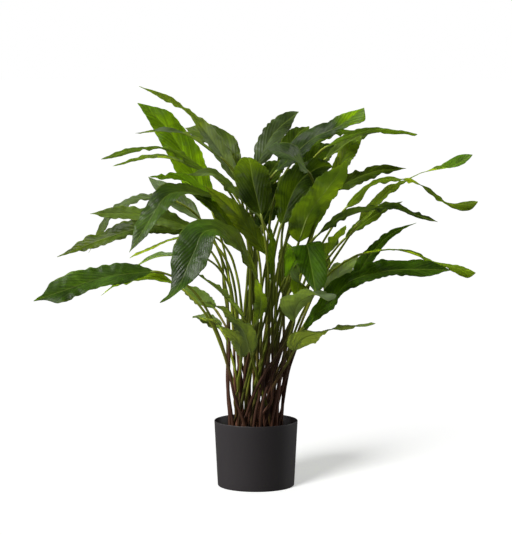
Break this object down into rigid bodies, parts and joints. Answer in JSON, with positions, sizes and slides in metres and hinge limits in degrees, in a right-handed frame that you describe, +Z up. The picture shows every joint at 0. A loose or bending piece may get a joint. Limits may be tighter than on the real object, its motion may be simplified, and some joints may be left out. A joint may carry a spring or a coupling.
{
  "type": "potted calathea",
  "caption": "Bushy clump of long pointed green leaves on thin upright stalks, growing from soil in a tapered charcoal plastic pot.",
  "frame": {"origin": "middle of the pot's flat underside, on the surface that the pot stands on", "axes": "+Z up along the pot's axis, +X to the plant's right and the way it spreads widest, -Y towards the front"},
  "size_m": [0.8858, 0.6906, 0.8108],
  "materials": {
    "charcoal_plastic": "matte",
    "potting_soil": "matte",
    "leaf_green": "satin"
  },
  "bodies": {
    "root": {"pot": "charcoal_plastic", "potting_soil": "potting_soil", "leaf_01": "leaf_green", "leaf_02": "leaf_green", "leaf_03": "leaf_green", "leaf_04": "leaf_green", "leaf_05": "leaf_green", "leaf_06": "leaf_green", "leaf_07": "leaf_green", "leaf_08": "leaf_green", "leaf_09": "leaf_green", "leaf_10": "leaf_green", "leaf_11": "leaf_green", "leaf_12": "leaf_green", "leaf_13": "leaf_green", "leaf_14": "leaf_green", "leaf_15": "leaf_green", "leaf_16": "leaf_green", "leaf_17": "leaf_green", "leaf_18": "leaf_green", "leaf_19": "leaf_green", "leaf_20": "leaf_green", "leaf_21": "leaf_green", "leaf_22": "leaf_green", "leaf_23": "leaf_green", "leaf_24": "leaf_green", "leaf_25": "leaf_green", "leaf_26": "leaf_green", "leaf_27": "leaf_green", "leaf_28": "leaf_green", "leaf_29": "leaf_green", "leaf_30": "leaf_green", "leaf_31": "leaf_green", "leaf_32": "leaf_green", "leaf_33": "leaf_green", "leaf_34": "leaf_green", "leaf_35": "leaf_green", "leaf_36": "leaf_green", "leaf_37": "leaf_green", "leaf_38": "leaf_green", "leaf_39": "leaf_green", "leaf_40": "leaf_green", "leaf_41": "leaf_green", "leaf_42": "leaf_green", "leaf_43": "leaf_green", "leaf_44": "leaf_green", "leaf_45": "leaf_green", "leaf_46": "leaf_green", "leaf_47": "leaf_green", "leaf_48": "leaf_green", "leaf_49": "leaf_green", "leaf_50": "leaf_green", "leaf_51": "leaf_green", "leaf_52": "leaf_green", "leaf_53": "leaf_green", "leaf_54": "leaf_green", "leaf_55": "leaf_green", "leaf_56": "leaf_green", "leaf_57": "leaf_green", "leaf_58": "leaf_green"}
  },
  "joints": []
}
